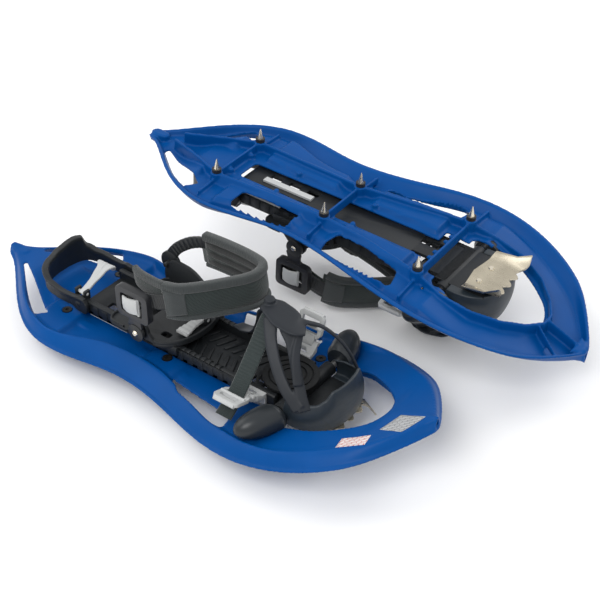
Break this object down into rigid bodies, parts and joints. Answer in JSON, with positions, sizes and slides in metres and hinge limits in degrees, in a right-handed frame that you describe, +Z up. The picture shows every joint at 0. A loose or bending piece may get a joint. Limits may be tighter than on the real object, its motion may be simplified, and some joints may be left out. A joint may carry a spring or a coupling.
{
  "type": "snowshoes",
  "caption": "Pair of moulded-deck snowshoes with steel spikes, pivoting bindings, toe strap, padded ankle strap and folding heel lifts; one upright, one upturned.",
  "frame": {"origin": "centre of the pair on the ground: the bounding box bottom centre, level with the right shoe spike tips", "axes": "+X from tails to noses, +Y from the right shoe to the left one, +Z up"},
  "size_m": [0.6467, 0.4488, 0.1512],
  "materials": {
    "deck_blue": "satin moulded",
    "spike_steel": "bright",
    "collar_black": "satin",
    "screw_black": "matte",
    "axle_steel": "satin",
    "cover_grey": "satin",
    "plate_grey": "fine grain",
    "tread_black": "matte",
    "cup_grey": "satin",
    "crampon_steel": "bright",
    "harness_grey": "satin",
    "webbing": "ribbed weave",
    "light_grey": "satin",
    "pad_fabric": "woven",
    "strap_black": "satin",
    "frame_black": "satin",
    "lift_black": "matte",
    "label_silver": "printed film",
    "label_white": "printed film"
  },
  "bodies": {
    "right_deck": {"right_deck": "deck_blue", "right_spikes": "spike_steel", "right_spike_collars": "collar_black", "right_spike_screws": "screw_black", "right_pivot_axle": "axle_steel", "right_pivot_covers": "cover_grey", "right_nose_label": "label_silver", "right_size_label": "label_white"},
    "right_binding": {"right_binding_plate": "plate_grey", "right_tread_plate": "tread_black", "right_toe_cup": "cup_grey", "right_crampon": "crampon_steel", "right_crampon_rivets": "spike_steel", "right_toe_harness": "harness_grey", "right_toe_strap": "webbing", "right_outer_anchor": "light_grey", "right_inner_anchor": "light_grey", "right_latch_bar": "light_grey"},
    "right_heel_lift": {"right_heel_lift": "lift_black"},
    "right_latch_lever": {"right_latch_lever": "light_grey"},
    "right_heel_carriage": {"right_heel_carriage": "plate_grey"},
    "right_carriage_catch": {"right_carriage_catch": "light_grey"},
    "right_ankle_strap": {"right_ankle_arm": "strap_black", "right_ankle_pad": "pad_fabric", "right_ankle_tongue": "pad_fabric", "right_ladder_strap": "strap_black", "right_ratchet_frame": "frame_black"},
    "right_ratchet_lever": {"right_ratchet_lever": "light_grey"},
    "right_outer_buckle": {"right_outer_buckle": "light_grey"},
    "right_inner_buckle": {"right_inner_buckle": "light_grey"},
    "left_deck": {"left_deck": "deck_blue", "left_spikes": "spike_steel", "left_spike_collars": "collar_black", "left_spike_screws": "screw_black", "left_pivot_axle": "axle_steel", "left_pivot_covers": "cover_grey"},
    "left_binding": {"left_binding_plate": "plate_grey", "left_tread_plate": "tread_black", "left_toe_cup": "cup_grey", "left_crampon": "crampon_steel", "left_crampon_rivets": "spike_steel", "left_toe_harness": "harness_grey", "left_toe_strap": "webbing", "left_outer_anchor": "light_grey", "left_inner_anchor": "light_grey", "left_latch_bar": "light_grey"},
    "left_heel_lift": {"left_heel_lift": "lift_black"},
    "left_latch_lever": {"left_latch_lever": "light_grey"},
    "left_heel_carriage": {"left_heel_carriage": "plate_grey"},
    "left_carriage_catch": {"left_carriage_catch": "light_grey"},
    "left_ankle_strap": {"left_ankle_arm": "strap_black", "left_ankle_pad": "pad_fabric", "left_ankle_tongue": "pad_fabric", "left_ladder_strap": "strap_black", "left_ratchet_frame": "frame_black"},
    "left_ratchet_lever": {"left_ratchet_lever": "light_grey"},
    "left_outer_buckle": {"left_outer_buckle": "light_grey"},
    "left_inner_buckle": {"left_inner_buckle": "light_grey"}
  },
  "joints": [
    {"name": "right_binding_pivot", "type": "hinge", "parent": "right_deck", "child": "right_binding", "pos_m": [0.11673, -0.10947, 0.044], "axis": [0, 1, 0], "range_deg": [0, 60]},
    {"name": "right_heel_lift_pivot", "type": "hinge", "parent": "right_binding", "child": "right_heel_lift", "pos_m": [-0.17127, -0.10947, 0.047], "axis": [0, 1, 0], "range_deg": [0, 100]},
    {"name": "right_latch_pivot", "type": "hinge", "parent": "right_binding", "child": "right_latch_lever", "pos_m": [-0.17327, -0.14047, 0.057], "axis": [1, 0, 0], "range_deg": [-25, 50]},
    {"name": "right_carriage_slide", "type": "slide", "parent": "right_binding", "child": "right_heel_carriage", "axis": [1, 0, 0], "range_m": [-0.03, 0.003]},
    {"name": "right_catch_pivot", "type": "hinge", "parent": "right_heel_carriage", "child": "right_carriage_catch", "pos_m": [-0.03127, -0.09947, 0.0623], "axis": [-1, 0, 0], "range_deg": [0, 60]},
    {"name": "right_ankle_swing", "type": "hinge", "parent": "right_heel_carriage", "child": "right_ankle_strap", "pos_m": [-0.11527, -0.05947, 0.076], "axis": [-0.4306, 0.8971, 0.0987], "range_deg": [-12, 1]},
    {"name": "right_ratchet_pivot", "type": "hinge", "parent": "right_ankle_strap", "child": "right_ratchet_lever", "pos_m": [-0.05927, -0.16647, 0.104], "axis": [0, 0, 1], "range_deg": [0, 75]},
    {"name": "right_outer_buckle_pivot", "type": "hinge", "parent": "right_binding", "child": "right_outer_buckle", "pos_m": [0.07873, -0.16347, 0.057], "axis": [1, 0, 0], "range_deg": [0, 25]},
    {"name": "right_inner_buckle_pivot", "type": "hinge", "parent": "right_binding", "child": "right_inner_buckle", "pos_m": [0.07873, -0.05547, 0.057], "axis": [-1, 0, 0], "range_deg": [0, 60]},
    {"name": "left_binding_pivot", "type": "hinge", "parent": "left_deck", "child": "left_binding", "pos_m": [0.16531, 0.10958, 0.09122], "axis": [0.0436, -0.999, 0], "range_deg": [0, 60]},
    {"name": "left_heel_lift_pivot", "type": "hinge", "parent": "left_binding", "child": "left_heel_lift", "pos_m": [-0.12218, 0.09703, 0.10329], "axis": [0.0436, -0.999, 0], "range_deg": [0, 100]},
    {"name": "left_latch_pivot", "type": "hinge", "parent": "left_binding", "child": "left_latch_lever", "pos_m": [-0.12334, 0.06595, 0.09341], "axis": [-0.9977, -0.0436, 0.0523], "range_deg": [-25, 50]},
    {"name": "left_carriage_slide", "type": "slide", "parent": "left_binding", "child": "left_heel_carriage", "axis": [0.9977, 0.0436, -0.0523], "range_m": [-0.03, 0.003]},
    {"name": "left_catch_pivot", "type": "hinge", "parent": "left_heel_carriage", "child": "left_carriage_catch", "pos_m": [0.01626, 0.11308, 0.08069], "axis": [0.9977, 0.0436, -0.0523], "range_deg": [0, 60]},
    {"name": "left_ankle_swing", "type": "hinge", "parent": "left_heel_carriage", "child": "left_ankle_strap", "pos_m": [-0.07, 0.14935, 0.0714], "axis": [0.4739, -0.8773, 0.076], "range_deg": [-12, 1]},
    {"name": "left_ratchet_pivot", "type": "hinge", "parent": "left_ankle_strap", "child": "left_ratchet_lever", "pos_m": [-0.01093, 0.04483, 0.04051], "axis": [0.0523, 0.0023, 0.9986], "range_deg": [0, 75]},
    {"name": "left_outer_buckle_pivot", "type": "hinge", "parent": "left_binding", "child": "left_outer_buckle", "pos_m": [0.12907, 0.05394, 0.08022], "axis": [-0.9977, -0.0436, 0.0523], "range_deg": [0, 25]},
    {"name": "left_inner_buckle_pivot", "type": "hinge", "parent": "left_binding", "child": "left_inner_buckle", "pos_m": [0.12436, 0.16184, 0.08022], "axis": [0.9977, 0.0436, -0.0523], "range_deg": [0, 60]},
    {"name": "left_shoe_lift", "type": "slide", "parent": "right_deck", "child": "left_deck", "axis": [0, 0, 1], "range_m": [0, 0.2]}
  ]
}
